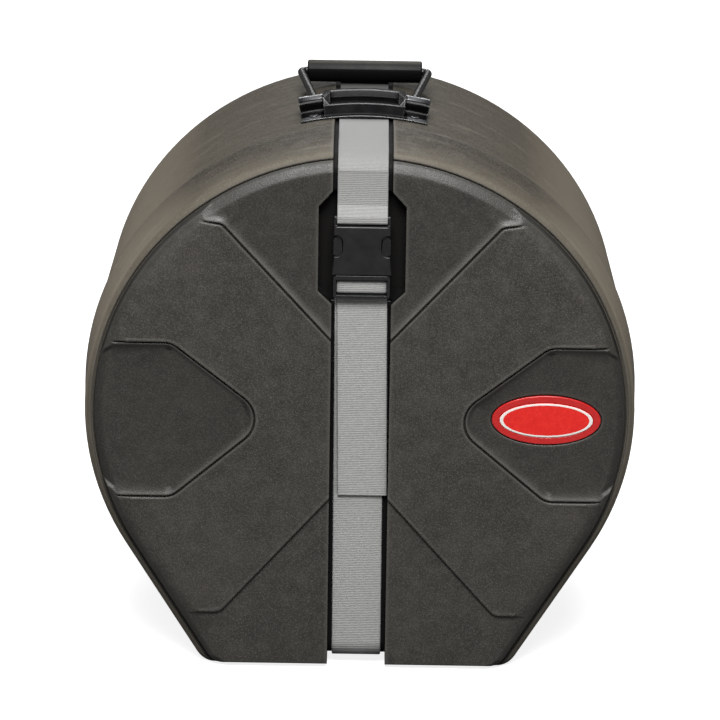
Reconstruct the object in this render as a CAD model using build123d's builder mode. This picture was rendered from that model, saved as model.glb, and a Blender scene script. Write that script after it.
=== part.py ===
from build123d import *
import math
import os

# Driving sizes of the case, in millimetres
case_depth = 270.0
rim_radius = 215.0
centre_height = 209.5
base_corner = 16.0
wall = 4.5
overrun = 20.0

# Lean of the straight sides under the drum axis, in degrees
side_lean = 31.4

# Draft of the lid, step down to the body, and draft of the body
lid_draft = 3.4
lip_step = 4.2
body_draft = 2.9

# Depths of the lid and of the body, measured from the face and from the back
lid_depth = 70.0
ridge_depth = 16.0
lip_gap = 0.6
neck_overlap = 45.0
neck_clearance = 0.7
land_depth = 80.0
back_ridge_depth = 18.0

# Rounding of the face edge: a shoulder, a crease, and the rolled edge that rises from it.
# Each roll is given as shares of its depth and of its width, from the crease to the flat face.
crease_depth = 9.5
crease_notch = 1.4
crease_land = 1.2
shoulder_width = 6.4
shoulder_depth = 5.0
pad_edge_width = 16.0
recess_edge_width = 9.0
floor_share = 0.3
round_steps = 3
pad_roll_shares = [(0.5, 0.134), (0.866, 0.5), (1, 1)]
recess_roll_shares = [(0.35, 0.2), (0.88, 0.8), (1, 1)]

# Recesses of the X pattern
recess_depth = 4.0
groove_width = 1.7
groove_depth = 2.4
slope_start = 0.7
slope_taper = 58.0
foot_recess_depth = 1.8
foot_taper = 45.0

# Bead along the borders of the raised pads
bead_width = 2.6
bead_rise = 0.5
bead_taper = 62.0

# Corners of the upper wedges and side pockets on the right half, as shares of the rim's radius,
# sideways and upwards from the drum axis
wedge_low_share = 0.2879
wedge_bend_shares = (0.4907, 0.7233)
wedge_rim_shares = (0.640, 0.742)
pocket_nose_share = 0.3223
pocket_middle_share = -0.0051
pocket_corner_share = 0.6726
pocket_top_share = 0.2726
pocket_low_share = -0.3051
wedge_bend_radius = 9.0
pocket_nose_radius = 21.0
pocket_corner_radius = 15.0

# Foot wedges: heights from the base, and the place of the bend as a share of the rim's radius
foot_high = 146.8
foot_bend_share = 0.4977
foot_bend_height = 47.7
foot_bend_radius = 9.0

# Strap channel round the case
channel_half = 22.6
channel_front = 7.5
channel_back = 5.0
channel_base = 7.5
channel_top_depth = 3.5
channel_corner = 14.0

# Buckle pocket in the lid's face, its heights measured from the receiver's mouth
bay_half = 33.2
bay_depth = 14.0
bay_rise = 64.4
bay_shoulder_rise = 52.5
bay_shoulder_drop = 15.0
bay_drop = 25.2

# Webbing
strap_width = 38.1
strap_thick = 1.8
strap_gap = 0.3
strap_half = strap_width / 2

# Buckle: the receiver's mouth lies this far under the top of the rim
buckle_drop = 98.5
buckle_width = 42.8
buckle_mouth_width = 45.2
buckle_flare = 13.0
buckle_thick = 9.6
buckle_round = 2.5
buckle_edge = 1.0
buckle_wall = 1.9
buckle_gap = 0.3
receiver_length = 38.5
receiver_bore_length = 34.0
receiver_arm_length = 45.5
window_rise = 14.6
window_length = 17.0
window_half = 14.6
window_round = 5.0
bar_size = 4.0
bar_thick = 3.4
tongue_length = 18.2
tongue_head = 5.7
tongue_bar_width = 7.4
clamp_bar_width = 2.5
tongue_bar_thick = 2.4
guide_half = 4.0
guide_length = 26.0
guide_taper = 1.2

# Prongs, right half: distances from the middle, and heights over the receiver's mouth
prong_root_in = 14.6
prong_root_out = 18.6
prong_waist_out = 17.2
prong_waist_rise = 13.2
pad_out = 21.6
pad_low_rise = 16.0
pad_high_rise = 27.5
prong_tip_out = 19.2
prong_tip_in = 15.6
prong_tip_rise = 30.8
prong_inner_x = 13.9
prong_inner_rise = 5.0
prong_round = 0.8

# Strap runs on the face
tail_length = 162.0
tail_top_shift = 0.5
tail_low_shift = 3.0
tail_end_rise = 1.2
run_top_shift = -1.2
sewn_length = 26.0
fold_radius = 1.4

# Places where the strap is split for its motion
top_split_body = 98.0
top_split_lid = 58.0
base_split_body = 95.0
base_split_lid = 45.0
run_split = 27.0

# Handle plate: distances from the middle round the case, and places along the drum axis
plate_half = 48.9
bridge_half = 30.5
tray_half = 25.4
slot_in = 32.4
slot_out = 41.6
plate_front = 101.0
plate_back = 142.0
plate_thick = 1.6
barrel_place = 126.0
barrel_radius = 6.3
barrel_flare = 4.5
bridge_rise = 12.4
bridge_front_foot = 5.0
bridge_front_run = 3.5
bridge_back_foot = 1.0
tray_depth = 5.0
tray_rim = 3.5
tray_slope = 2.5

# Bail and grip
rod_radius = 3.15
pivot_back = 2.6
pivot_rise = 2.0
bail_length = 76.4
bail_rise_angle = 4.6
bail_pin_end = 47.0
bail_foot = 36.5
bail_shoulder = 51.0
bail_foot_bend = 4.5
bail_shoulder_bend = 4.0
slot_clearance = 0.4
grip_length = 91.0
grip_width = 17.0
grip_thick = 17.2
grip_round = 8.2
grip_end_round = 1.2
grip_bore_gap = 0.2

# Rivets and washers
rivet_head_radius = 3.5
rivet_head_thick = 1.0
rivet_head_dish = 1.2
rivet_radius = 2.0
rivet_hole_gap = 0.1
rivet_tail_thick = 1.0
rivet_tail_radius = 3.0
washer_radius = 6.0
washer_thick = 1.2
washer_seat = 0.02
front_rivet_out = 39.0
front_rivet_place = 110.0
back_rivet_out = 44.9
back_rivet_place = 138.2

# Badge
badge_share = 0.6665
badge_width = 83.5
badge_height = 39.5
badge_seat_depth = 1.6
badge_seat_gap = 1.1
badge_thick = 2.4
badge_ring = 5.4
badge_dish = 0.8
badge_cap_rise = 1.2
badge_edge = 0.6

# Foam pads
pad_thick = 8.0
wall_pad_thick = 5.0
pad_gap = 0.3

# Places worked out from the driving sizes
shoulder_radius = rim_radius - lid_draft
body_radius = rim_radius - lip_step
back_radius = body_radius - body_draft
channel_top_height = centre_height + body_radius - channel_top_depth
channel_proud = buckle_thick + buckle_gap - channel_front
face_y = -(case_depth - channel_proud) / 2
back_y = face_y + case_depth
lip_y = face_y + lid_depth
lean_sine = math.sin(math.radians(side_lean))
lean_cosine = math.cos(math.radians(side_lean))
drum_axis = Axis((0, 0, centre_height), (0, 1, 0))
crease_radius = shoulder_radius - shoulder_width
back_crease_radius = back_radius - shoulder_width
case_top = centre_height + rim_radius
front_floor_y = face_y + channel_front
back_floor_y = back_y - channel_back
buckle_back_y = front_floor_y - buckle_gap
buckle_front_y = buckle_back_y - buckle_thick
badge_x = rim_radius * badge_share
badge_z = centre_height
wedge_low = centre_height + rim_radius * wedge_low_share

# Heights of the buckle
receiver_low = centre_height + rim_radius - buckle_drop
receiver_high = receiver_low + receiver_length
receiver_bore_high = receiver_low + receiver_bore_length
arm_high = receiver_low + receiver_arm_length
window_low = receiver_low + window_rise
window_high = window_low + window_length
tongue_high = receiver_low - buckle_gap
tongue_low = tongue_high - tongue_length
tongue_bar_high = tongue_high - tongue_head
tongue_bar_low = tongue_bar_high - tongue_bar_width
clamp_bar_high = tongue_low + clamp_bar_width
guide_high = receiver_low + guide_length
bay_high = receiver_low + bay_rise
bay_shoulder_high = receiver_low + bay_shoulder_rise
bay_shoulder_low = receiver_low - bay_shoulder_drop
bay_low = receiver_low - bay_drop


def face_plane(y):
    """Plane square to the drum axis at y, looking out of the front, with z upwards."""
    return Plane.XZ.offset(-y)


def d_face(radius, floor):
    """D outline: a circle about the drum axis, straight sides tangent to it, and a flat floor."""
    tangent_x = radius * lean_cosine
    tangent_z = centre_height - radius * lean_sine
    foot_x = (radius - (centre_height - floor) * lean_sine) / lean_cosine
    left, right = (-tangent_x, tangent_z), (tangent_x, tangent_z)
    with BuildSketch() as outline:
        with BuildLine():
            FilletPolyline(left, (-foot_x, floor), (foot_x, floor), right, radius=base_corner - floor)
            ThreePointArc(right, (0, centre_height + radius), left)
        make_face()
    return outline.sketch


def d_loft(stations):
    """Ruled solid through D outlines, each given as its place y, its radius and its floor."""
    with BuildPart() as block:
        for y, radius, floor in stations:
            with BuildSketch(face_plane(y)):
                add(d_face(radius, floor))
        loft(ruled=True)
    return block.part


def rounded_end(end_y, inward, top_radius, level):
    """Stations of a rounded end: shoulder, crease and edge, up to a flat face at the given level."""
    edge_radius = top_radius - shoulder_width
    edge_width = recess_edge_width if level else pad_edge_width
    profile = []
    for step in range(round_steps):
        angle = math.radians(90 * step / round_steps)
        depth = crease_depth + shoulder_depth * (1 - math.sin(angle))
        profile.append((depth, top_radius - shoulder_width * (1 - math.cos(angle))))
    profile.append((crease_depth, edge_radius + crease_land))
    profile.append((crease_depth + crease_notch, edge_radius))
    for depth_share, width_share in recess_roll_shares if level else pad_roll_shares:
        depth = crease_depth - (crease_depth - level) * depth_share
        profile.append((depth, edge_radius - edge_width * width_share))
    return [
        (end_y + inward * depth, radius, floor_share * (top_radius - radius))
        for depth, radius in profile
    ]


def lid_dome(level):
    """Outer solid of the lid with its flat face at the given level below the pads."""
    rim = [(lip_y, rim_radius, 0), (face_y + ridge_depth, shoulder_radius, 0)]
    return d_loft(rim + rounded_end(face_y, 1, shoulder_radius, level))


def body_dome(level):
    """Outer solid of the body behind the lip, with its flat back at the given level."""
    front = lip_y + lip_gap
    rim = [
        (front, body_radius, 0),
        (front + land_depth, body_radius, 0),
        (back_y - back_ridge_depth, back_radius, 0),
    ]
    return d_loft(rim + rounded_end(back_y, -1, back_radius, level))


def channel_cut(grow):
    """Ring that cuts the strap channel, widened and deepened by grow."""
    corner = channel_corner - grow
    low = channel_base + grow
    high = channel_top_height - grow
    front = front_floor_y + grow
    back = back_floor_y - grow
    with BuildPart() as ring:
        with BuildSketch(Plane.YZ):
            with Locations(((face_y + back_y) / 2, case_top / 2)):
                Rectangle(case_depth + 2 * overrun, case_top + 2 * overrun)
            with Locations(((front + back) / 2, (low + high) / 2)):
                RectangleRounded(back - front, high - low, corner, mode=Mode.SUBTRACT)
        extrude(amount=channel_half + grow, both=True)
    return ring.part


def bay_block(grow):
    """Octagonal block that cuts the buckle pocket, grown by grow."""
    half = bay_half + grow
    throat = channel_half + grow
    with BuildPart() as block:
        with BuildSketch(face_plane(face_y - overrun)):
            Polygon(
                (-throat, bay_low), (throat, bay_low),
                (half, bay_shoulder_low), (half, bay_shoulder_high),
                (throat, bay_high), (-throat, bay_high),
                (-half, bay_shoulder_high), (-half, bay_shoulder_low),
                align=None,
            )
        extrude(amount=-(overrun + bay_depth + grow))
    return block.part


def lid_cavity(grow):
    """Space inside the lid, shrunk by grow, with the backs of the channel and the pocket left standing."""
    inset = wall + grow
    inner_face = recess_depth + inset
    slope = (rim_radius - shoulder_radius) / (lid_depth - ridge_depth)
    stations = [
        (lip_y + overrun, rim_radius + slope * overrun - inset, inset),
        (face_y + ridge_depth, shoulder_radius - inset, inset),
        (
            face_y + inner_face,
            crease_radius - recess_edge_width - grow,
            inset + floor_share * shoulder_width,
        ),
    ]
    with BuildPart() as space:
        add(d_loft(stations))
        add(channel_cut(inset), mode=Mode.SUBTRACT)
        add(bay_block(inset), mode=Mode.SUBTRACT)
    return space.part


def body_cavity():
    """Space inside the body behind the lip."""
    stations = [
        (lip_y + lip_gap, body_radius - wall, wall),
        (lip_y + lip_gap + land_depth, body_radius - wall, wall),
        (back_y - back_ridge_depth, back_radius - wall, wall),
        (
            back_y - recess_depth - wall,
            back_crease_radius - recess_edge_width,
            wall + floor_share * shoulder_width,
        ),
    ]
    with BuildPart() as space:
        add(d_loft(stations))
        add(channel_cut(wall), mode=Mode.SUBTRACT)
    return space.part


def depth_slab(start, end):
    """Block across the whole case between two depths below the face."""
    with BuildPart() as slab:
        with BuildSketch(face_plane(face_y + start)):
            with Locations((0, case_top / 2)):
                Rectangle(2 * (rim_radius + overrun), case_top + 2 * overrun)
        extrude(amount=start - end)
    return slab.part


def mirrored(points, side):
    """Points of the right half, or their mirror images on the left."""
    return [(side * x, z) for x, z in points]


def from_axis(shares):
    """Point on the face, given as shares of the rim's radius sideways and upwards from the axis."""
    return (rim_radius * shares[0], centre_height + rim_radius * shares[1])


def wedge_outline(side):
    """Upper wedge between the strap channel and the arm of the X, open to the rim."""
    rim_x, rim_z = from_axis(wedge_rim_shares)
    arm = [
        (channel_half - overrun, wedge_low - overrun),
        from_axis(wedge_bend_shares),
        (rim_x, rim_z),
        (rim_x + overrun, rim_z + overrun),
    ]
    far_z = centre_height + rim_radius + overrun
    points = mirrored(arm, side)
    far = mirrored([(rim_x + overrun, far_z), (channel_half - overrun, far_z)], side)
    with BuildSketch() as outline:
        with BuildLine():
            FilletPolyline(*points, radius=wedge_bend_radius)
            Polyline(points[-1], *far, points[0])
        make_face()
    return outline.sketch


def pocket_outline(side):
    """Side pocket, pointing at the middle and open to the rim."""
    open_x = rim_radius + overrun
    corner_x, top = from_axis((pocket_corner_share, pocket_top_share))
    nose_x, nose_z = from_axis((pocket_nose_share, pocket_middle_share))
    low = from_axis((pocket_corner_share, pocket_low_share))[1]
    edge = [(open_x, top), (corner_x, top), (nose_x, nose_z), (corner_x, low), (open_x, low)]
    points = mirrored(edge, side)
    with BuildSketch() as outline:
        with BuildLine():
            FilletPolyline(*points, radius=[pocket_corner_radius, pocket_nose_radius, pocket_corner_radius])
            Line(points[-1], points[0])
        make_face()
    return outline.sketch


def foot_outline(side):
    """Lower wedge between the strap channel and the lower arm of the X, open to the base."""
    inner_x = channel_half - overrun
    bend_x = rim_radius * foot_bend_share
    edge = [(inner_x, foot_high + overrun), (bend_x, foot_bend_height), (rim_radius, foot_bend_height)]
    points = mirrored(edge, side)
    low = mirrored([(rim_radius, -overrun), (inner_x, -overrun)], side)
    with BuildSketch() as outline:
        with BuildLine():
            FilletPolyline(*points, radius=foot_bend_radius)
            Polyline(points[-1], *low, points[0])
        make_face()
    return outline.sketch


def end_plane(y, front):
    """Plane on the face or on the back, looking out of the case, with sketches upright."""
    if front:
        return face_plane(y)
    return Plane(origin=(0, y, 0), x_dir=(-1, 0, 0), z_dir=(0, 1, 0))


def relief_cut(end_y, front):
    """Recesses of the X pattern: a fine groove at the border, then a slope down to the floor."""
    inward = 1 if front else -1
    with BuildPart() as cut:
        for side in (-1, 1):
            for outline in (wedge_outline(side), pocket_outline(side)):
                with BuildSketch(end_plane(end_y, front)):
                    add(outline)
                extrude(amount=-slope_start)
                with BuildSketch(end_plane(end_y + inward * slope_start, front)):
                    add(outline)
                extrude(amount=slope_start - crease_depth, taper=slope_taper)
                with BuildSketch(end_plane(end_y, front)):
                    add(outline)
                    offset(amount=groove_width)
                    add(outline, mode=Mode.SUBTRACT)
                extrude(amount=-groove_depth)
    return cut.part


def foot_cut(end_y, front):
    """Shallow recesses either side of the strap channel at the base."""
    with BuildPart() as cut:
        for side in (-1, 1):
            with BuildSketch(end_plane(end_y, front)):
                add(foot_outline(side))
            extrude(amount=-foot_recess_depth, taper=foot_taper)
    return cut.part


def bead_ridge(side):
    """Low bead on the flat of the face that follows the borders of the pads on one side."""
    flat_radius = crease_radius - pad_edge_width
    flat_floor = floor_share * (shoulder_width + pad_edge_width)
    borders = [
        (wedge_outline(side), groove_width),
        (pocket_outline(side), groove_width),
        (foot_outline(side), 0),
    ]
    with BuildPart() as ridge:
        for outline, inner in borders:
            with BuildSketch(face_plane(face_y + bead_rise)):
                add(outline)
                offset(amount=inner + bead_width)
            extrude(amount=bead_rise)
            with BuildSketch(face_plane(face_y)):
                add(outline)
                offset(amount=inner + bead_width)
            extrude(amount=bead_rise, taper=bead_taper)
            with BuildSketch(face_plane(face_y - bead_rise)):
                add(outline)
                if inner:
                    offset(amount=inner)
            extrude(amount=-2 * bead_rise, mode=Mode.SUBTRACT)
        ends = (face_y - 2 * bead_rise, face_y + bead_rise)
        add(d_loft([(y, flat_radius, flat_floor) for y in ends]), mode=Mode.INTERSECT)
    return ridge.part


def radial_plane(angle):
    """Plane through the drum axis at an angle from the top: x along the axis, y outwards."""
    turn = math.radians(angle)
    return Plane(
        origin=(0, 0, centre_height), x_dir=(0, 1, 0), z_dir=(math.cos(turn), 0, -math.sin(turn))
    )


def seat_plane(angle, depth, radius):
    """Plane that lies on a cylinder about the drum axis, looking outwards."""
    turn = math.radians(angle)
    place = (radius * math.sin(turn), face_y + depth, centre_height + radius * math.cos(turn))
    return Plane(origin=place, x_dir=(0, 1, 0), z_dir=(math.sin(turn), 0, math.cos(turn)))


def body_angle(width):
    """Angle from the top that spans a width round the outside of the body."""
    return math.degrees(width / body_radius)


rivet_places = [
    (side * body_angle(out), place)
    for out, place in ((front_rivet_out, front_rivet_place), (back_rivet_out, back_rivet_place))
    for side in (-1, 1)
]


def rivet_posts(radius, low, high):
    """Four round posts at the rivets, between two radii about the drum axis."""
    with BuildPart() as posts:
        for angle, place in rivet_places:
            with BuildSketch(seat_plane(angle, place, low)):
                Circle(radius)
            extrude(amount=high - low)
    return posts.part


# Lid
recess_floor = lid_dome(recess_depth)
badge_seat_y = face_y + recess_depth + badge_seat_depth
with BuildPart() as lid_shell:
    add(lid_dome(0))
    add(relief_cut(face_y, True), mode=Mode.SUBTRACT)
    add(recess_floor)
    add(foot_cut(face_y, True), mode=Mode.SUBTRACT)
    for side in (-1, 1):
        add(bead_ridge(side))
    add(channel_cut(0), mode=Mode.SUBTRACT)
    add(bay_block(0), mode=Mode.SUBTRACT)
    add(lid_cavity(0), mode=Mode.SUBTRACT)
    with BuildSketch(face_plane(badge_seat_y)):
        with Locations((badge_x, badge_z)):
            Ellipse(badge_width / 2 + badge_seat_gap, badge_height / 2 + badge_seat_gap)
    extrude(amount=badge_seat_depth + overrun, mode=Mode.SUBTRACT)

# Body with its telescoping neck
neck_start = lid_depth - neck_overlap
with BuildPart() as neck:
    add(lid_cavity(neck_clearance))
    add(depth_slab(neck_start, lid_depth + lip_gap + wall), mode=Mode.INTERSECT)
with BuildPart() as neck_space:
    add(lid_cavity(neck_clearance + wall))
    add(depth_slab(neck_start - overrun, lid_depth + lip_gap + wall), mode=Mode.INTERSECT)
hole_radius = rivet_radius + rivet_hole_gap
with BuildPart() as body_shell:
    add(body_dome(0))
    add(relief_cut(back_y, False), mode=Mode.SUBTRACT)
    add(body_dome(recess_depth))
    add(foot_cut(back_y, False), mode=Mode.SUBTRACT)
    add(channel_cut(0), mode=Mode.SUBTRACT)
    add(neck.part)
    add(body_cavity(), mode=Mode.SUBTRACT)
    add(neck_space.part, mode=Mode.SUBTRACT)
    add(rivet_posts(hole_radius, body_radius - 2 * wall, body_radius + wall), mode=Mode.SUBTRACT)

# Foam pads
lid_pad_face = recess_depth + wall + pad_gap
with BuildPart() as lid_pad:
    add(lid_cavity(pad_gap))
    add(depth_slab(lid_pad_face, lid_pad_face + pad_thick), mode=Mode.INTERSECT)
back_pad_face = case_depth - recess_depth - wall - pad_gap
back_pad_radius = back_crease_radius - recess_edge_width - pad_gap
back_pad_floor = wall + floor_share * shoulder_width + pad_gap
with BuildPart() as back_pad:
    pad_ends = (face_y + back_pad_face - pad_thick, face_y + back_pad_face)
    add(d_loft([(y, back_pad_radius, back_pad_floor) for y in pad_ends]))
    add(channel_cut(wall + pad_gap), mode=Mode.SUBTRACT)
wall_pad_radius = body_radius - 2 * wall
wall_pad_floor = 2 * wall + neck_clearance + pad_gap
wall_pad_end = back_pad_face - pad_thick - pad_gap
wall_pad_low = neck_start + wall
wall_pad_hole_radius = wall_pad_radius - wall_pad_thick
wall_pad_hole_floor = wall_pad_floor + wall_pad_thick
with BuildPart() as wall_pad:
    pad_ends = (face_y + wall_pad_low, face_y + wall_pad_end)
    add(d_loft([(y, wall_pad_radius, wall_pad_floor) for y in pad_ends]))
    add(channel_cut(wall_pad_floor), mode=Mode.SUBTRACT)
    hole_ends = (face_y + wall_pad_low - overrun, face_y + wall_pad_end + overrun)
    add(d_loft([(y, wall_pad_hole_radius, wall_pad_hole_floor) for y in hole_ends]), mode=Mode.SUBTRACT)
    add(rivet_posts(washer_radius + pad_gap, wall_pad_hole_radius, body_radius), mode=Mode.SUBTRACT)

# Handle plate, formed along the curve of the case
plate_front_y = face_y + plate_front
plate_back_y = face_y + plate_back
barrel_y = face_y + barrel_place
barrel_height = body_radius + barrel_radius
sheet_top = body_radius + plate_thick
bridge_top = body_radius + bridge_rise
barrel_outer = barrel_radius + plate_thick


def lobe_profile():
    """Section of the plate's end: front flange, arch over the rod and back flange."""
    with BuildSketch() as section:
        with Locations(((plate_front_y + plate_back_y) / 2, body_radius + plate_thick / 2)):
            Rectangle(plate_back_y - plate_front_y, plate_thick)
        with Locations((barrel_y, barrel_height)):
            Circle(barrel_outer)
        with Locations((barrel_y, (barrel_height + body_radius) / 2)):
            Rectangle(2 * barrel_outer, barrel_height - body_radius)
        fillet(section.vertices().sort_by_distance((barrel_y - barrel_outer, sheet_top))[0], barrel_flare)
        with Locations((barrel_y, barrel_height)):
            Circle(barrel_radius, mode=Mode.SUBTRACT)
        with Locations((barrel_y, (barrel_height + body_radius) / 2)):
            Rectangle(2 * barrel_radius, barrel_height - body_radius, mode=Mode.SUBTRACT)
        with Locations((barrel_y, body_radius - overrun / 2)):
            Rectangle(2 * barrel_outer, overrun, mode=Mode.SUBTRACT)
    return section.sketch


def bridge_profile(thin):
    """Section of the raised bridge over the strap, drawn in by thin for its underside."""
    front = plate_front_y + bridge_front_foot + thin
    back = plate_back_y - bridge_back_foot - thin
    with BuildSketch() as section:
        Polygon(
            (front, body_radius - thin), (front, sheet_top - thin),
            (front + bridge_front_run, bridge_top - thin),
            (back, bridge_top - thin), (back, body_radius - thin),
            align=None,
        )
    return section.sketch


def tray_profile(grow):
    """Section of the tray pressed into the bridge, grown by the sheet's thickness for its underside."""
    front = plate_front_y + bridge_front_foot + bridge_front_run + tray_rim - grow
    back = plate_back_y - bridge_back_foot - tray_rim + grow
    low = bridge_top - tray_depth - grow
    with BuildSketch() as section:
        Polygon(
            (front, bridge_top + plate_thick), (front, bridge_top),
            (front + tray_slope, low), (back - tray_slope, low),
            (back, bridge_top), (back, bridge_top + plate_thick),
            align=None,
        )
    return section.sketch


def swung(profile, start, end):
    """Profile along the drum axis, swung round it between two angles from the top."""
    with BuildPart() as swept:
        with BuildSketch(radial_plane(start)):
            add(profile)
        revolve(axis=drum_axis, revolution_arc=end - start)
    return swept.part


plate_angle = body_angle(plate_half)
bridge_angle = body_angle(bridge_half)
tray_angle = body_angle(tray_half)
slot_angle_in = body_angle(slot_in)
slot_angle_out = body_angle(slot_out)
thin_angle = math.degrees(plate_thick / bridge_top)
with BuildSketch() as strip_profile:
    with Locations(((plate_front_y + plate_back_y) / 2, body_radius + plate_thick / 2)):
        Rectangle(plate_back_y - plate_front_y, plate_thick)
with BuildSketch() as slot_profile:
    slot_front = barrel_y + pivot_back - rod_radius - slot_clearance
    with Locations(((slot_front + plate_back_y + overrun) / 2, sheet_top + overrun / 2)):
        Rectangle(plate_back_y + overrun - slot_front, overrun)
with BuildPart() as bridge_space:
    add(swung(bridge_profile(plate_thick), thin_angle - bridge_angle, bridge_angle - thin_angle))
    add(
        swung(tray_profile(plate_thick), -tray_angle - thin_angle, tray_angle + thin_angle),
        mode=Mode.SUBTRACT,
    )
with BuildPart() as handle_plate:
    add(swung(lobe_profile(), -plate_angle, -bridge_angle))
    add(swung(lobe_profile(), bridge_angle, plate_angle))
    add(swung(strip_profile.sketch, -bridge_angle, bridge_angle))
    add(swung(bridge_profile(0), -bridge_angle, bridge_angle))
    add(swung(tray_profile(0), -tray_angle, tray_angle), mode=Mode.SUBTRACT)
    add(bridge_space.part, mode=Mode.SUBTRACT)
    add(swung(slot_profile.sketch, slot_angle_in, slot_angle_out), mode=Mode.SUBTRACT)
    add(swung(slot_profile.sketch, -slot_angle_out, -slot_angle_in), mode=Mode.SUBTRACT)
    add(rivet_posts(hole_radius, body_radius - wall, body_radius + wall), mode=Mode.SUBTRACT)

# Rivets with dished heads, and the washers under their tails inside the body
inner_radius = body_radius - wall
washer_sag = inner_radius - math.sqrt(inner_radius ** 2 - washer_radius ** 2)
washer_top = inner_radius - washer_sag - washer_seat
rivet_end = washer_top - washer_thick - rivet_tail_thick
with BuildPart() as handle_rivets:
    add(rivet_posts(rivet_radius, rivet_end, sheet_top + rivet_head_thick))
    add(rivet_posts(rivet_head_radius, sheet_top, sheet_top + rivet_head_thick))
    add(
        rivet_posts(rivet_head_dish, sheet_top + rivet_head_thick / 2, sheet_top + 2 * rivet_head_thick),
        mode=Mode.SUBTRACT,
    )
    add(rivet_posts(rivet_tail_radius, rivet_end, rivet_end + rivet_tail_thick))
with BuildPart() as handle_washers:
    add(rivet_posts(washer_radius, washer_top - washer_thick, washer_top))
    add(rivet_posts(hole_radius, washer_top - wall, washer_top + wall), mode=Mode.SUBTRACT)

# Bail and grip, folded back
pivot = (0, barrel_y + pivot_back, centre_height + body_radius + pivot_rise)
rise = math.radians(bail_rise_angle)
bail_plane = Plane(origin=pivot, x_dir=(1, 0, 0), z_dir=(0, -math.sin(rise), math.cos(rise)))
with BuildPart() as handle_bail:
    with BuildLine(bail_plane) as bail_path:
        FilletPolyline(
            (-bail_pin_end, 0), (-bail_foot, 0), (-bail_shoulder, bail_length),
            (bail_shoulder, bail_length), (bail_foot, 0), (bail_pin_end, 0),
            radius=[bail_foot_bend, bail_shoulder_bend, bail_shoulder_bend, bail_foot_bend],
        )
    with BuildSketch(Plane(origin=bail_path.line @ 0, x_dir=(0, 1, 0), z_dir=(1, 0, 0))):
        Circle(rod_radius)
    sweep()
grip_centre = bail_plane.from_local_coords((0, bail_length, 0))
grip_plane = Plane(
    origin=(-grip_length / 2, grip_centre.Y, grip_centre.Z),
    x_dir=(0, math.cos(rise), math.sin(rise)),
    z_dir=(1, 0, 0),
)
with BuildPart() as handle_grip:
    with BuildSketch(grip_plane):
        RectangleRounded(grip_width, grip_thick, grip_round)
    extrude(amount=grip_length)
    fillet(handle_grip.faces().filter_by(Axis.X).edges(), grip_end_round)
    with BuildSketch(grip_plane):
        Circle(rod_radius + grip_bore_gap)
    extrude(amount=grip_length, mode=Mode.SUBTRACT)

# Badge: an oval plate with a raised ring, and a domed cap inside the ring
cap_half_width = badge_width / 2 - badge_ring
cap_half_height = badge_height / 2 - badge_ring
with BuildPart() as badge_plate:
    with BuildSketch(face_plane(badge_seat_y)):
        with Locations((badge_x, badge_z)):
            Ellipse(badge_width / 2, badge_height / 2)
    extrude(amount=badge_thick)
    fillet(badge_plate.faces().sort_by(Axis.Y)[0].edges(), badge_edge)
    with BuildSketch(face_plane(badge_seat_y - badge_thick)):
        with Locations((badge_x, badge_z)):
            Ellipse(cap_half_width, cap_half_height)
    extrude(amount=-badge_dish, mode=Mode.SUBTRACT)
with BuildPart() as badge_cap:
    with BuildSketch(face_plane(badge_seat_y - badge_thick + badge_dish)):
        with Locations((badge_x, badge_z)):
            Ellipse(cap_half_width - badge_edge / 2, cap_half_height - badge_edge / 2)
    extrude(amount=badge_cap_rise)
    fillet(badge_cap.faces().sort_by(Axis.Y)[0].edges(), badge_edge)

# Buckle
rail_in = strap_half + strap_gap
rail_out = buckle_width / 2
bore_half = buckle_width / 2 - buckle_wall
bore_thick = buckle_thick - 2 * buckle_wall
buckle_middle_y = (buckle_back_y + buckle_front_y) / 2
strap_depth = strap_gap + strap_thick / 2
bar_back_y = front_floor_y - 2 * strap_gap - strap_thick - strap_gap
flare_z = receiver_low + buckle_flare
arm_low = receiver_high - buckle_round
with BuildPart() as buckle_receiver:
    with BuildSketch(face_plane(buckle_back_y)):
        Polygon(
            (-buckle_mouth_width / 2, receiver_low), (buckle_mouth_width / 2, receiver_low),
            (buckle_width / 2, flare_z), (buckle_width / 2, receiver_high),
            (-buckle_width / 2, receiver_high), (-buckle_width / 2, flare_z),
            align=None,
        )
    extrude(amount=buckle_thick)
    fillet(buckle_receiver.edges().filter_by(Axis.Y).group_by(Axis.Z)[-1], buckle_round)
    fillet(buckle_receiver.faces().filter_by(Axis.Y).edges(), buckle_edge)
    with BuildSketch(Plane.XY.offset(receiver_low)):
        with Locations((0, buckle_middle_y)):
            RectangleRounded(2 * bore_half, bore_thick, buckle_edge)
    extrude(amount=receiver_bore_high - receiver_low, mode=Mode.SUBTRACT)
    with BuildSketch(face_plane(buckle_back_y)):
        for side in (-1, 1):
            with Locations((side * (window_half + overrun / 2), (window_low + window_high) / 2)):
                RectangleRounded(overrun, window_high - window_low, window_round)
    extrude(amount=buckle_thick, mode=Mode.SUBTRACT)
    with BuildSketch(face_plane(bar_back_y)):
        for side in (-1, 1):
            with Locations((side * (rail_in + rail_out) / 2, (arm_low + arm_high) / 2)):
                Rectangle(rail_out - rail_in, arm_high - arm_low)
        with Locations((0, arm_high - bar_size / 2)):
            Rectangle(2 * rail_in, bar_size)
    extrude(amount=bar_thick)
    fillet(buckle_receiver.edges().filter_by(Axis.X).group_by(Axis.Z)[-1], buckle_edge)
tongue_bar_y = front_floor_y - strap_gap - strap_thick - strap_gap - strap_gap
clamp_bar_y = front_floor_y - 3 * strap_gap - 2 * strap_thick
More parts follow.
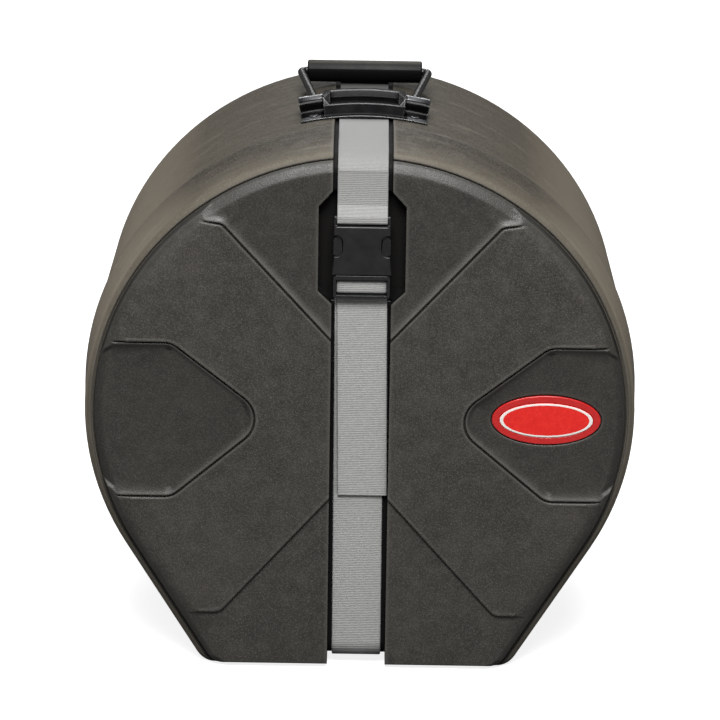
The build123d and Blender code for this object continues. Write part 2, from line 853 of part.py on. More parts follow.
with BuildPart() as buckle_tongue:
    with BuildSketch(face_plane(buckle_back_y)):
        with Locations((0, (tongue_low + tongue_high) / 2)):
            RectangleRounded(2 * rail_out, tongue_high - tongue_low, buckle_round)
        with Locations((0, (tongue_low + tongue_bar_high + buckle_round) / 2 - overrun / 2)):
            Rectangle(2 * rail_in, tongue_bar_high - tongue_low + buckle_round + overrun, mode=Mode.SUBTRACT)
    extrude(amount=buckle_thick)
    with BuildSketch(face_plane(tongue_bar_y)):
        with Locations((0, (tongue_bar_low + tongue_bar_high) / 2)):
            Rectangle(2 * rail_in, tongue_bar_high - tongue_bar_low)
    extrude(amount=tongue_bar_thick)
    with BuildSketch(face_plane(clamp_bar_y)):
        with Locations((0, (tongue_low + clamp_bar_high) / 2)):
            Rectangle(2 * rail_in, clamp_bar_high - tongue_low)
    extrude(amount=clamp_bar_y - buckle_front_y)
    with BuildSketch(face_plane(buckle_middle_y)):
        with Locations((0, (tongue_high + guide_high) / 2)):
            Rectangle(2 * guide_half, guide_high - tongue_high)
    extrude(amount=bore_thick / 2 - buckle_gap, both=True)
    chamfer(buckle_tongue.edges().filter_by(Axis.Y).group_by(Axis.Z)[-1], guide_taper)


def prong(side):
    """Springy arm of the tongue with its press pad, right or left."""
    points = mirrored(
        [
            (prong_root_in, tongue_high), (prong_root_out, tongue_high),
            (prong_waist_out, receiver_low + prong_waist_rise), (pad_out, receiver_low + pad_low_rise),
            (pad_out, receiver_low + pad_high_rise), (prong_tip_out, receiver_low + prong_tip_rise),
            (prong_tip_in, receiver_low + prong_tip_rise), (prong_inner_x, receiver_low + prong_inner_rise),
        ],
        side,
    )
    with BuildPart() as arm:
        with BuildSketch(face_plane(buckle_middle_y)):
            with BuildLine():
                FilletPolyline(*points[1:], radius=prong_round)
                Polyline(points[-1], points[0], points[1])
            make_face()
        extrude(amount=bore_thick / 2 - buckle_gap, both=True)
    return arm.part


with BuildPart() as left_prong:
    add(prong(-1))
with BuildPart() as right_prong:
    add(prong(1))

# Webbing, cut where it bends or stretches as the case opens
floor_run_y = front_floor_y - strap_depth
back_run_y = back_floor_y + strap_depth
top_run_z = channel_top_height + strap_depth
base_run_z = channel_base - strap_depth
turn_radius = channel_corner + strap_depth
top_body_y = face_y + top_split_body
top_lid_y = face_y + top_split_lid
base_body_y = face_y + base_split_body
base_lid_y = face_y + base_split_lid


def webbing(paths):
    """Webbing of full width along paths in the plane of the strap, each given with its bend radius."""
    with BuildPart() as band:
        with BuildSketch(Plane.YZ):
            for points, radius in paths:
                with BuildLine():
                    if len(points) > 2:
                        FilletPolyline(*points, radius=radius)
                    else:
                        Line(*points)
                trace(line_width=strap_thick)
        extrude(amount=strap_half, both=True)
    return band.part


with BuildPart() as strap_body_run:
    body_route = [
        (top_body_y, top_run_z), (back_run_y, top_run_z), (back_run_y, base_run_z), (base_body_y, base_run_z)
    ]
    add(webbing([(body_route, turn_radius)]))
with BuildPart() as strap_top_bridge:
    add(webbing([([(top_lid_y, top_run_z), (top_body_y, top_run_z)], 0)]))
with BuildPart() as strap_base_bridge:
    add(webbing([([(base_lid_y, base_run_z), (base_body_y, base_run_z)], 0)]))
bar_middle_y = bar_back_y - bar_thick / 2
loop_front_y = bar_back_y - bar_thick - strap_depth
loop_back_y = bar_back_y + strap_depth
loop_low = arm_high - bar_size - strap_depth
sewn_low = arm_high + 2 * bar_size
sewn_high = sewn_low + sewn_length
lap_y = floor_run_y - strap_thick
with BuildPart() as strap_upper:
    main_route = [
        (top_lid_y, top_run_z), (floor_run_y, top_run_z), (floor_run_y, sewn_low), (loop_back_y, arm_high),
        (loop_back_y, loop_low),
    ]
    lap_route = [
        (lap_y, sewn_high), (lap_y, sewn_low), (loop_front_y, arm_high), (loop_front_y, loop_low),
        (loop_back_y, loop_low), (loop_back_y, arm_high),
    ]
    add(webbing([(main_route, [turn_radius, fold_radius, fold_radius])]))
    add(webbing([(lap_route, fold_radius)]))
with BuildPart() as strap_lid_base:
    base_route = [(base_lid_y, base_run_z), (floor_run_y, base_run_z), (floor_run_y, run_split)]
    add(webbing([(base_route, turn_radius)]))
with BuildPart() as strap_lower_run:
    with BuildSketch(face_plane(front_floor_y - strap_gap)):
        Polygon(
            (-strap_half, run_split), (strap_half, run_split),
            (run_top_shift + strap_half, tongue_low), (run_top_shift - strap_half, tongue_low),
            align=None,
        )
    extrude(amount=strap_thick)
ladder_front_y = tongue_bar_y - tongue_bar_thick - strap_depth
tail_y = floor_run_y - strap_gap - strap_thick
slot_z = tongue_bar_high + strap_depth
cross_z = (tongue_bar_low + clamp_bar_high) / 2
with BuildPart() as strap_ladder_loop:
    ladder_route = [
        (floor_run_y, tongue_low), (floor_run_y, slot_z), (ladder_front_y, slot_z),
        (ladder_front_y, cross_z), (tail_y, cross_z), (tail_y, tongue_low),
    ]
    add(webbing([(ladder_route, fold_radius)]))
tail_low = tongue_low - tail_length
with BuildPart() as strap_tail:
    with BuildSketch(face_plane(tail_y + strap_thick / 2)):
        Polygon(
            (tail_low_shift - strap_half, tail_low), (tail_low_shift + strap_half, tail_low + tail_end_rise),
            (tail_top_shift + strap_half, tongue_low), (tail_top_shift - strap_half, tongue_low),
            align=None,
        )
    extrude(amount=strap_thick)

os.makedirs("parts", exist_ok=True)
pieces = {
    "body_shell": body_shell,
    "lid_shell": lid_shell,
    "lid_pad": lid_pad,
    "back_pad": back_pad,
    "wall_pad": wall_pad,
    "handle_plate": handle_plate,
    "handle_rivets": handle_rivets,
    "handle_washers": handle_washers,
    "handle_bail": handle_bail,
    "handle_grip": handle_grip,
    "badge_plate": badge_plate,
    "badge_cap": badge_cap,
    "buckle_receiver": buckle_receiver,
    "buckle_tongue": buckle_tongue,
    "left_prong": left_prong,
    "right_prong": right_prong,
    "strap_body_run": strap_body_run,
    "strap_top_bridge": strap_top_bridge,
    "strap_base_bridge": strap_base_bridge,
    "strap_upper": strap_upper,
    "strap_lid_base": strap_lid_base,
    "strap_lower_run": strap_lower_run,
    "strap_ladder_loop": strap_ladder_loop,
    "strap_tail": strap_tail,
}
for name, piece in pieces.items():
    piece.part.label = name
    export_step(piece.part, f"parts/{name}.step")
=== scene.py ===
import math

import bpy
from mathutils import Matrix, Vector


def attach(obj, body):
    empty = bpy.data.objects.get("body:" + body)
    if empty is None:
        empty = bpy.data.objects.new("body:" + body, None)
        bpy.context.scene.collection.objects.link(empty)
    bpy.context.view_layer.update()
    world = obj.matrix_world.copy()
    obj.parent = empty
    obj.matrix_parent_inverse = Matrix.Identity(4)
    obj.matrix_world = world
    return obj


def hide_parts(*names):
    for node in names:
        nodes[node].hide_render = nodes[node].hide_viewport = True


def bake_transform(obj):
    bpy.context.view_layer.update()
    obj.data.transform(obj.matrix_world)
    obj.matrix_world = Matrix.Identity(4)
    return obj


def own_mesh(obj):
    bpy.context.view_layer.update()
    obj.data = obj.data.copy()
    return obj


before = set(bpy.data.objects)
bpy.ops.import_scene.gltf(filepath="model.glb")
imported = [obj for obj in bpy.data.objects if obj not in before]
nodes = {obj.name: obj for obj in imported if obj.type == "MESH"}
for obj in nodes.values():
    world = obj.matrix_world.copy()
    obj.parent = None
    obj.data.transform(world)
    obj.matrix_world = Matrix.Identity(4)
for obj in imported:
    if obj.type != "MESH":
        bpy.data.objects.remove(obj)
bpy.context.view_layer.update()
scene = bpy.context.scene

# Sizes of the case in metres, as its solids have them
FACE_Y = -0.1338
FLOOR_Y = FACE_Y + 0.0075
BACK_Y = 0.1362
BACK_FLOOR_Y = BACK_Y - 0.005
AXIS_Z = 0.2095
LID_DEPTH = 0.0700
CREASE_DEPTH = 0.0097
CHANNEL_TOP = 0.4168
CHANNEL_BASE = 0.0075
CHANNEL_SIDE = 0.0226 + 0.00008

# Pocket behind the buckle
POCKET_Z = 0.3456
POCKET_HALF_WIDTH = 0.0335
POCKET_HALF_HEIGHT = 0.0452
POCKET_FRONT = FACE_Y + 0.0046
POCKET_BACK = FACE_Y + 0.0150

# Handle's plate: radii from the drum axis, its tray with the front rim, and its two lobes
PLATE_SEAT = 0.2108
BRIDGE_TOP = 0.2232
TRAY_Y = FACE_Y + 0.1235
TRAY_HALF_DEPTH = 0.0140
TRAY_SINK = 0.0006
FRONT_RIM_END = FACE_Y + 0.1145
FRONT_RIM_HALF = 0.0325
RIM_DROP = 0.0032
RIM_DROP_START = 0.2
RIM_DROP_SPAN = 0.7
LOBE_START = 0.0335
LOBE_END = 0.0485

# Badge: its middle, and the half sizes of its printed ring outside and inside
BADGE_X = 0.1433
BADGE_Z = 0.2095
BADGE_RING = ((0.0357, 0.0137), (0.0331, 0.0123))

# Webbing: section, gap under it, and where its runs start and end
STRAP_WIDTH = 0.0381
STRAP_THICK = 0.0018
STRAP_GAP = 0.0003
CORNER_BEND = 0.014
BAR_BEND = 0.0014
TOP_CROSSING = (FACE_Y + 0.058, FACE_Y + 0.098)
BASE_CROSSING = (FACE_Y + 0.045, FACE_Y + 0.095)
LOWER_RUN_START = 0.027
LADDER_START = 0.3075
TAIL_END = 0.1455

# Buckle: bars that the webbing turns round
BAR_RECESS = 0.0027
RECEIVER_BAR_TOP = 0.3715
RECEIVER_BAR_THICK = 0.0034
RECEIVER_BAR_TALL = 0.004
TONGUE_BAR_THICK = 0.0024
LADDER_TOP = 0.3212
LADDER_CROSSING = 0.3113

# Modelling and shading
WELD_DISTANCE = 0.000002
SECTION_STEPS = 6
ROUTE_SPACING = 0.008
WIDE_BEND = 0.005
WIDE_BEND_STEPS = 14
TIGHT_BEND_STEPS = 5
FACE_WEIGHT = 60
SHADER_SAMPLES = 8
EDGE_SAMPLES = 6


# Small modelling helpers
def clear_selection():
    """Leaves nothing selected, in object mode."""
    if bpy.context.object and bpy.context.object.mode != "OBJECT":
        bpy.ops.object.mode_set(mode="OBJECT")
    bpy.ops.object.select_all(action="DESELECT")


def take(piece):
    """Makes a piece the only selected one, and the active one."""
    clear_selection()
    piece.select_set(True)
    bpy.context.view_layer.objects.active = piece
    return piece


def settle(piece, name):
    """Names a finished piece and applies its place, so that its object sits at the origin."""
    take(piece)
    bpy.ops.object.transform_apply(location=True, rotation=True, scale=True)
    piece.name = name
    piece.data.name = name
    return piece


def finish_with(piece, kind, **settings):
    """Adds one modifier with its settings and applies it."""
    take(piece)
    modifier = piece.modifiers.new(kind.title(), kind)
    for key, value in settings.items():
        setattr(modifier, key, value)
    bpy.ops.object.modifier_apply(modifier=modifier.name)
    return piece


def weld(piece, face_out=False):
    """Merges points that share a place, and turns the faces outwards where that is asked."""
    take(piece)
    bpy.ops.object.mode_set(mode="EDIT")
    bpy.ops.mesh.select_all(action="SELECT")
    bpy.ops.mesh.remove_doubles(threshold=WELD_DISTANCE)
    if face_out:
        bpy.ops.mesh.normals_make_consistent(inside=False)
    bpy.ops.object.mode_set(mode="OBJECT")
    return piece


def joined_copy(node, name):
    """Copy of a solid whose loose triangles are merged into one skin."""
    piece = bpy.data.objects.new(name, nodes[node].data.copy())
    scene.collection.objects.link(piece)
    piece.data.materials.clear()
    weld(piece)
    bpy.ops.mesh.customdata_custom_splitnormals_clear()
    return piece


def moulded_copy(node, name, grain, rounds):
    """Copy of a solid with its edges softened as a mould or a press leaves them."""
    piece = joined_copy(node, name)
    finish_with(piece, "REMESH", mode="VOXEL", voxel_size=grain * 1)
    finish_with(piece, "SMOOTH", factor=0.5, iterations=rounds)
    bpy.ops.object.shade_smooth()
    return piece


def rounded_shading(piece, sharp):
    """Shades a thin shell so that each narrow slope rounds over between its wide faces."""
    take(piece)
    bpy.ops.object.shade_smooth_by_angle(angle=math.radians(sharp))
    return finish_with(piece, "WEIGHTED_NORMAL", mode="FACE_AREA", weight=FACE_WEIGHT, keep_sharp=True)


def lower_front_rim(piece):
    """Presses the front rim of the tray in the handle's plate lower than its back rim."""
    for vertex in piece.data.vertices:
        along, spoke = vertex.co.y, Vector((vertex.co.x, vertex.co.z - AXIS_Z))
        rise = (spoke.length - PLATE_SEAT) / (BRIDGE_TOP - PLATE_SEAT)
        if along < FRONT_RIM_END and abs(vertex.co.x) < FRONT_RIM_HALF and rise > RIM_DROP_START:
            drop = RIM_DROP * min(1.0, (rise - RIM_DROP_START) / RIM_DROP_SPAN)
            spoke *= (spoke.length - drop) / spoke.length
            vertex.co = (spoke.x, along, AXIS_Z + spoke.y)
    return piece


def dress(piece, material, body, slot, *replaced):
    """Gives a piece its material and body, and hides the nodes that it stands for; its slot is not used."""
    piece.data.materials.clear()
    piece.data.materials.append(material)
    if body:
        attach(piece, body)
    if replaced:
        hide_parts(*replaced)
    return piece


# Node helpers, whose values are sockets or plain numbers
def math_node(tree, operation, first, second=0.0):
    """Math node on one or two values."""
    node = tree.nodes.new("ShaderNodeMath")
    node.operation = operation
    for index, value in enumerate((first, second)):
        if hasattr(value, "links"):
            tree.links.new(value, node.inputs[index])
        else:
            node.inputs[index].default_value = value
    return node.outputs[0]


def plus(tree, first, second):
    """Sum of two values."""
    return math_node(tree, "ADD", first, second)


def minus(tree, first, second):
    """First value less the second."""
    return math_node(tree, "SUBTRACT", first, second)


def times(tree, first, second):
    """Product of two values."""
    return math_node(tree, "MULTIPLY", first, second)


def larger(tree, first, second):
    """Larger of two values."""
    return math_node(tree, "MAXIMUM", first, second)


def under(tree, value, limit):
    """One where a value is under a limit, nought elsewhere."""
    return math_node(tree, "LESS_THAN", value, limit)


def above(tree, value, limit):
    """One where a value is above a limit, nought elsewhere."""
    return math_node(tree, "GREATER_THAN", value, limit)


def distance_from(tree, value, middle=0.0):
    """How far a value lies from a middle, on either side."""
    return math_node(tree, "ABSOLUTE", minus(tree, value, middle) if middle else value)


def weighted(tree, first, share, second, second_share):
    """Sum of two values, each times its share."""
    return plus(tree, times(tree, first, share), times(tree, second, second_share))


def wave(tree, value):
    """Sine with one turn for each whole step of a value."""
    return math_node(tree, "SINE", times(tree, value, 2 * math.pi))


def parts_of(tree, vector):
    """The X, Y and Z of a vector."""
    node = tree.nodes.new("ShaderNodeSeparateXYZ")
    tree.links.new(vector, node.inputs[0])
    return node.outputs


def made_of(tree, **parts):
    """Vector with the given values as its X, Y or Z."""
    node = tree.nodes.new("ShaderNodeCombineXYZ")
    for label, value in parts.items():
        tree.links.new(value, node.inputs[label])
    return node.outputs[0]


def length_of(tree, vector):
    """Length of a vector."""
    node = tree.nodes.new("ShaderNodeVectorMath")
    node.operation = "LENGTH"
    tree.links.new(vector, node.inputs[0])
    return node.outputs["Value"]


def mapped(tree, driver, low, high, start, end):
    """Value that goes from start to end as the driver goes from low to high."""
    node = tree.nodes.new("ShaderNodeMapRange")
    for label, value in (("From Min", low), ("From Max", high), ("To Min", start), ("To Max", end)):
        node.inputs[label].default_value = value
    tree.links.new(driver, node.inputs["Value"])
    return node.outputs["Result"]


def noise_node(tree, vector, scale, detail=3.0, roughness=0.55):
    """Noise over a vector at a scale, which may be a socket."""
    node = tree.nodes.new("ShaderNodeTexNoise")
    tree.links.new(vector, node.inputs["Vector"])
    if hasattr(scale, "links"):
        tree.links.new(scale, node.inputs["Scale"])
    else:
        node.inputs["Scale"].default_value = scale
    node.inputs["Detail"].default_value = detail
    node.inputs["Roughness"].default_value = roughness
    return node.outputs["Fac"]


def between_creases(tree, along):
    """One between the lid's crease and the back's, nought on the rolled edges and the flat ends."""
    half = (BACK_Y - FACE_Y) / 2 - CREASE_DEPTH
    return under(tree, distance_from(tree, along, (FACE_Y + BACK_Y) / 2), half)


# Shared surface effects
def new_group(name, inputs, outputs):
    """Empty shader group with a vector and numbers (name, value) going in and numbers coming out."""
    group = bpy.data.node_groups.new(name, "ShaderNodeTree")
    group.interface.new_socket("Vector", in_out="INPUT", socket_type="NodeSocketVector")
    for label, value in inputs:
        socket = group.interface.new_socket(label, in_out="INPUT", socket_type="NodeSocketFloat")
        socket.default_value = value
    for label in outputs:
        group.interface.new_socket(label, in_out="OUTPUT", socket_type="NodeSocketFloat")
    return group, group.nodes.new("NodeGroupInput").outputs, group.nodes.new("NodeGroupOutput").inputs


def build_moulded_grain():
    """Pebbled grain of a rotation-moulded skin, with broad mottling."""
    group, start, end = new_group("Moulded grain", [("Pebble scale", 900.0)], ["Height", "Mottle"])
    vector, scale = start["Vector"], start["Pebble scale"]
    pebbles = group.nodes.new("ShaderNodeTexVoronoi")
    pebbles.feature = "SMOOTH_F1"
    group.links.new(vector, pebbles.inputs["Vector"])
    group.links.new(scale, pebbles.inputs["Scale"])
    fine = noise_node(group, vector, times(group, scale, 1.7), detail=2.0)
    height = plus(group, times(group, pebbles.outputs["Distance"], -0.6), fine)
    group.links.new(height, end["Height"])
    group.links.new(noise_node(group, vector, 85.0, detail=5.0, roughness=0.7), end["Mottle"])
    return group


def build_webbing_weave():
    """Flat webbing: ribs across it, fine warp cords along it, uneven threads and a little fuzz."""
    group, start, end = new_group(
        "Webbing weave", [("Rib scale", 690.0), ("Cord scale", 1150.0)], ["Height", "Shade", "Fuzz"]
    )
    vector = start["Vector"]
    parts = parts_of(group, vector)
    wobble = times(group, noise_node(group, vector, 260.0), 0.0009)
    along = plus(group, plus(group, parts["Y"], parts["Z"]), wobble)
    rib = wave(group, times(group, along, start["Rib scale"]))
    cord = wave(group, times(group, parts["X"], start["Cord scale"]))
    height = plus(group, weighted(group, rib, 0.34, times(group, rib, cord), 0.16), 0.5)
    slub = noise_node(group, vector, 420.0, detail=4.0, roughness=0.75)
    thread = noise_node(group, vector, 900.0, detail=2.0, roughness=0.6)
    # Shade mixes painted shade in the low gaps between the ribs with the uneven tone of the threads
    shade = weighted(group, height, 0.46, weighted(group, slub, 0.5, thread, 0.5), 0.62)
    group.links.new(height, end["Height"])
    group.links.new(shade, end["Shade"])
    group.links.new(noise_node(group, vector, 2600.0, detail=2.0), end["Fuzz"])
    return group


def build_light_wear():
    """Soft patches and fine scratches of handling."""
    group, start, end = new_group("Light wear", [("Patch scale", 30.0)], ["Patches", "Scratches"])
    vector = start["Vector"]
    patches = noise_node(group, vector, start["Patch scale"], detail=6.0, roughness=0.65)
    stretch = group.nodes.new("ShaderNodeMapping")
    stretch.inputs["Rotation"].default_value = (0.4, 0.9, 0.6)
    stretch.inputs["Scale"].default_value = (1.0, 14.0, 14.0)
    group.links.new(vector, stretch.inputs["Vector"])
    group.links.new(patches, end["Patches"])
    lines = noise_node(group, stretch.outputs["Vector"], 55.0, detail=4.0, roughness=0.8)
    group.links.new(lines, end["Scratches"])
    return group


def build_rim_dust_and_sheen():
    """Mask of the outside between the two creases, and streaks that run round the drum axis."""
    group, start, end = new_group("Rim dust and sheen", [], ["Mask", "Streaks", "Smears"])
    parts = parts_of(group, start["Vector"])
    group.links.new(between_creases(group, parts["Y"]), end["Mask"])
    turn = math_node(group, "ARCTAN2", parts["X"], minus(group, parts["Z"], AXIS_Z))
    for label, round_scale, along_scale, detail in (
        ("Streaks", 3.2, 95.0, 5.0),
        ("Smears", 2.3, 34.0, 6.0),
    ):
        unrolled = made_of(group, X=times(group, turn, round_scale), Y=times(group, parts["Y"], along_scale))
        group.links.new(noise_node(group, unrolled, 1.6, detail, 0.62), end[label])
    return group


grain_group = build_moulded_grain()
rim_group = build_rim_dust_and_sheen()
weave_group = build_webbing_weave()
wear_group = build_light_wear()


def new_material(name, roughness, **plain):
    """Material with one Principled shader, its object coordinates, and plain values on its sockets."""
    material = bpy.data.materials.new(name)
    material.use_nodes = True
    tree = material.node_tree
    shader = tree.nodes["Principled BSDF"]
    shader.inputs["Roughness"].default_value = roughness
    for label, value in plain.items():
        shader.inputs[label.replace("_", " ")].default_value = value
    place = tree.nodes.new("ShaderNodeTexCoord").outputs["Object"]
    return material, tree, shader, place


def use_group(tree, group, place, **values):
    """Places a shared effect in a material with its own values."""
    node = tree.nodes.new("ShaderNodeGroup")
    node.node_tree = group
    tree.links.new(place, node.inputs["Vector"])
    for label, value in values.items():
        node.inputs[label.replace("_", " ")].default_value = value
    return node.outputs


def colour_ramp(tree, driver, *stops):
    """Colour ramp with stops (position, colour), driven by a socket."""
    ramp = tree.nodes.new("ShaderNodeValToRGB")
    tree.links.new(driver, ramp.inputs["Fac"])
    elements = ramp.color_ramp.elements
    while len(elements) < len(stops):
        elements.new(0.5)
    for element, (position, colour) in zip(elements, stops):
        element.position = position
        element.color = (*colour, 1.0)
    return ramp.outputs["Color"]


def tinted(tree, base, *tints):
    """Lays colours over a base, each as (colour, driver, low, high, strength), in their order."""
    for colour, driver, low, high, strength in tints:
        mix = tree.nodes.new("ShaderNodeMix")
        mix.data_type = "RGBA"
        tree.links.new(mapped(tree, driver, low, high, 0.0, strength), mix.inputs["Factor"])
        tree.links.new(base, mix.inputs["A"])
        mix.inputs["B"].default_value = (*colour, 1.0)
        base = mix.outputs["Result"]
    return base


def paint(tree, shader, colour, driver, start, end):
    """Links a colour, and a roughness that goes from start to end as its driver rises."""
    tree.links.new(colour, shader.inputs["Base Color"])
    tree.links.new(mapped(tree, driver, 0.3, 0.7, start, end), shader.inputs["Roughness"])


def raise_by(tree, shader, height, distance, strength=1.0, edge_radius=0.0):
    """Bump from a height, over edges that shade as if rounded to a radius."""
    bump = tree.nodes.new("ShaderNodeBump")
    bump.inputs["Distance"].default_value = distance
    bump.inputs["Strength"].default_value = strength
    tree.links.new(height, bump.inputs["Height"])
    if edge_radius:
        rounding = tree.nodes.new("ShaderNodeBevel")
        rounding.samples = EDGE_SAMPLES
        rounding.inputs["Radius"].default_value = edge_radius
        tree.links.new(rounding.outputs["Normal"], bump.inputs["Normal"])
    tree.links.new(bump.outputs["Normal"], shader.inputs["Normal"])


def crowding(tree, distance, local=True, inside=False):
    """How closely surfaces crowd round a point, from nought in the open up to one."""
    hollow = tree.nodes.new("ShaderNodeAmbientOcclusion")
    hollow.only_local = local
    hollow.inside = inside
    hollow.samples = SHADER_SAMPLES
    hollow.inputs["Distance"].default_value = distance
    return minus(tree, 1.0, hollow.outputs["AO"])


def surface_direction(tree):
    """Way that the surface faces, in the piece's own frame, as three separate values."""
    return parts_of(tree, tree.nodes.new("ShaderNodeTexCoord").outputs["Normal"])


# Masks of parts of the case
def recess_mask(tree, parts):
    """One in the pocket behind the buckle and in the strap channel, nought elsewhere."""
    sideways = distance_from(tree, parts["X"])
    beside = under(tree, sideways, POCKET_HALF_WIDTH)
    within = times(tree, beside, under(tree, distance_from(tree, parts["Z"], POCKET_Z), POCKET_HALF_HEIGHT))
    sunken = times(tree, above(tree, parts["Y"], POCKET_FRONT), under(tree, parts["Y"], POCKET_BACK))
    return larger(tree, times(tree, within, sunken), under(tree, sideways, CHANNEL_SIDE))


def tray_mask(tree, parts):
    """One in the tray pressed into the handle's plate, nought elsewhere."""
    reach = length_of(tree, made_of(tree, X=parts["X"], Z=minus(tree, parts["Z"], AXIS_Z)))
    along = distance_from(tree, parts["Y"], TRAY_Y)
    return times(tree, under(tree, reach, BRIDGE_TOP - TRAY_SINK), under(tree, along, TRAY_HALF_DEPTH))


def lobe_mask(tree, parts):
    """One at the inner end of each lobe of the handle's plate, fading out to its tip."""
    sideways = distance_from(tree, parts["X"])
    fading = mapped(tree, sideways, LOBE_START, LOBE_END, 1.0, 0.2)
    return times(tree, fading, above(tree, sideways, LOBE_START))


# Materials
def make_shell_skin():
    """Black moulded polyethylene: pebbled grain, dust and painted sheen round the rim, painted light and
    shade over the relief, painted shade in the creases.
    """
    material, tree, shader, place = new_material("Moulded shell", 0.4, Specular_IOR_Level=0.45)
    grain = use_group(tree, grain_group, place, Pebble_scale=760.0)
    wear = use_group(tree, wear_group, place, Patch_scale=11.0)
    rim = use_group(tree, rim_group, place)
    parts = parts_of(tree, place)
    facing = surface_direction(tree)
    sideways = distance_from(tree, facing["X"])
    behind_face = minus(tree, parts["Y"], FACE_Y)
    before_seam = minus(tree, LID_DEPTH, behind_face)
    on_rim = rim["Mask"]
    on_skirt = times(tree, on_rim, under(tree, behind_face, LID_DEPTH))
    sloping = times(tree, facing["Z"], minus(tree, 1.0, on_rim))
    recess = recess_mask(tree, parts)
    blacks = colour_ramp(
        tree, grain["Mottle"],
        (0.30, (0.031, 0.0297, 0.0268)), (0.52, (0.041, 0.0390, 0.0348)), (0.74, (0.055, 0.0515, 0.045)),
    )
    base = tinted(
        tree, blacks,
        # Patches of handling
        ((0.068, 0.062, 0.053), wear["Patches"], 0.48, 0.72, 0.50),
        # Dust and painted sheen on the rim; its top darkened as painted shade
        ((0.086, 0.073, 0.054), on_rim, 0.0, 1.0, 0.95),
        ((0.034, 0.0285, 0.0205), times(tree, facing["Z"], on_rim), 0.66, 0.97, 0.97),
        # Skirt of the lid: painted shade at its lip and painted light at its crease
        ((0.015, 0.0125, 0.0090), times(tree, on_skirt, behind_face), 0.030, LID_DEPTH, 0.85),
        ((0.105, 0.090, 0.068), times(tree, on_skirt, before_seam), 0.030, 0.062, 0.60),
        # Painted sheen on the flanks, with streaks and smears round the rim
        ((0.300, 0.258, 0.198), times(tree, sideways, on_rim), 0.60, 0.97, 0.80),
        ((0.125, 0.110, 0.087), times(tree, on_rim, rim["Streaks"]), 0.48, 0.72, 0.28),
        ((0.230, 0.208, 0.172), times(tree, on_rim, rim["Smears"]), 0.56, 0.74, 0.28),
        # Rubbed tips of the grain, and scratches
        ((0.150, 0.137, 0.114), grain["Height"], 0.22, 0.52, 0.50),
        ((0.115, 0.105, 0.088), wear["Scratches"], 0.64, 0.84, 0.30),
        # Painted light on slopes of the relief that look up, painted shade on the rolled edge and on slopes
        # that look down and sideways
        ((0.060, 0.0575, 0.052), sloping, 0.10, 0.42, 0.80),
        ((0.038, 0.039, 0.040), sloping, 0.56, 0.80, 0.80),
        ((0.016, 0.0155, 0.014), sloping, -0.06, -0.36, 0.85),
        ((0.010, 0.0102, 0.0105), minus(tree, sideways, on_rim), 0.42, 0.82, 0.88),
        # Painted shade on sunken parts of the face, wear with a painted highlight on the edges, painted shade
        # in the creases and in the pocket with the channel
        ((0.020, 0.0195, 0.0175), minus(tree, behind_face, on_rim), 0.0015, 0.0032, 0.40),
        ((0.140, 0.132, 0.117), crowding(tree, 0.0032, inside=True), 0.05, 0.45, 0.45),
        ((0.011, 0.0105, 0.0095), crowding(tree, 0.012, local=False), 0.12, 0.85, 0.80),
        ((0.004, 0.004, 0.004), recess, 0.0, 1.0, 0.97),
    )
    dulling = plus(tree, plus(tree, times(tree, on_rim, 0.25), grain["Mottle"]), times(tree, recess, 0.2))
    paint(tree, shader, base, minus(tree, dulling, 0.15), 0.40, 0.70)
    quiet = larger(tree, recess, times(tree, on_rim, 0.45))
    tree.links.new(minus(tree, 0.45, times(tree, quiet, 0.33)), shader.inputs["Specular IOR Level"])
    raise_by(tree, shader, grain["Height"], 0.00026, 0.7, edge_radius=0.0022)
    return material


def make_webbing():
    """Grey polyester webbing, ribbed across, with painted shade in the gaps between the ribs, on its upward
    faces and in its folds, a painted shadow behind the handle's plate, and soft fuzz.
    """
    material, tree, shader, place = new_material("Grey webbing", 0.72, Sheen_Weight=0.25, Sheen_Roughness=0.5)
    weave = use_group(tree, weave_group, place)
    parts = parts_of(tree, place)
    behind_face = times(tree, above(tree, parts["Z"], CHANNEL_TOP), minus(tree, parts["Y"], FACE_Y))
    greys = colour_ramp(
        tree, weave["Shade"],
        (0.2, (0.12, 0.12, 0.117)), (0.5, (0.33, 0.33, 0.322)), (0.85, (0.52, 0.52, 0.505)),
    )
    base = tinted(
        tree, greys,
        # Bright fuzz
        ((0.56, 0.56, 0.545), weave["Fuzz"], 0.58, 0.75, 0.50),
        # Painted shade on the faces that look up, painted shadow behind the handle's plate, and the greyer
        # upper run
        ((0.13, 0.13, 0.127), surface_direction(tree)["Z"], 0.3, 0.95, 0.75),
        ((0.008, 0.008, 0.008), behind_face, 0.110, 0.132, 0.90),
        ((0.20, 0.20, 0.195), parts["Z"], 0.33, 0.40, 0.45),
        # Painted shade in folds and crossings
        ((0.035, 0.035, 0.034), crowding(tree, 0.02, local=False), 0.12, 0.75, 0.85),
    )
    paint(tree, shader, base, weave["Shade"], 0.82, 0.62)
    # Sheen and gloss taken off the webbing in the painted shadow behind the handle's plate
    outside_handle_shadow = under(tree, behind_face, 0.121)
    tree.links.new(times(tree, outside_handle_shadow, 0.25), shader.inputs["Sheen Weight"])
    tree.links.new(times(tree, outside_handle_shadow, 0.5), shader.inputs["Specular IOR Level"])
    raise_by(tree, shader, weave["Height"], 0.00022, 0.8)
    return material


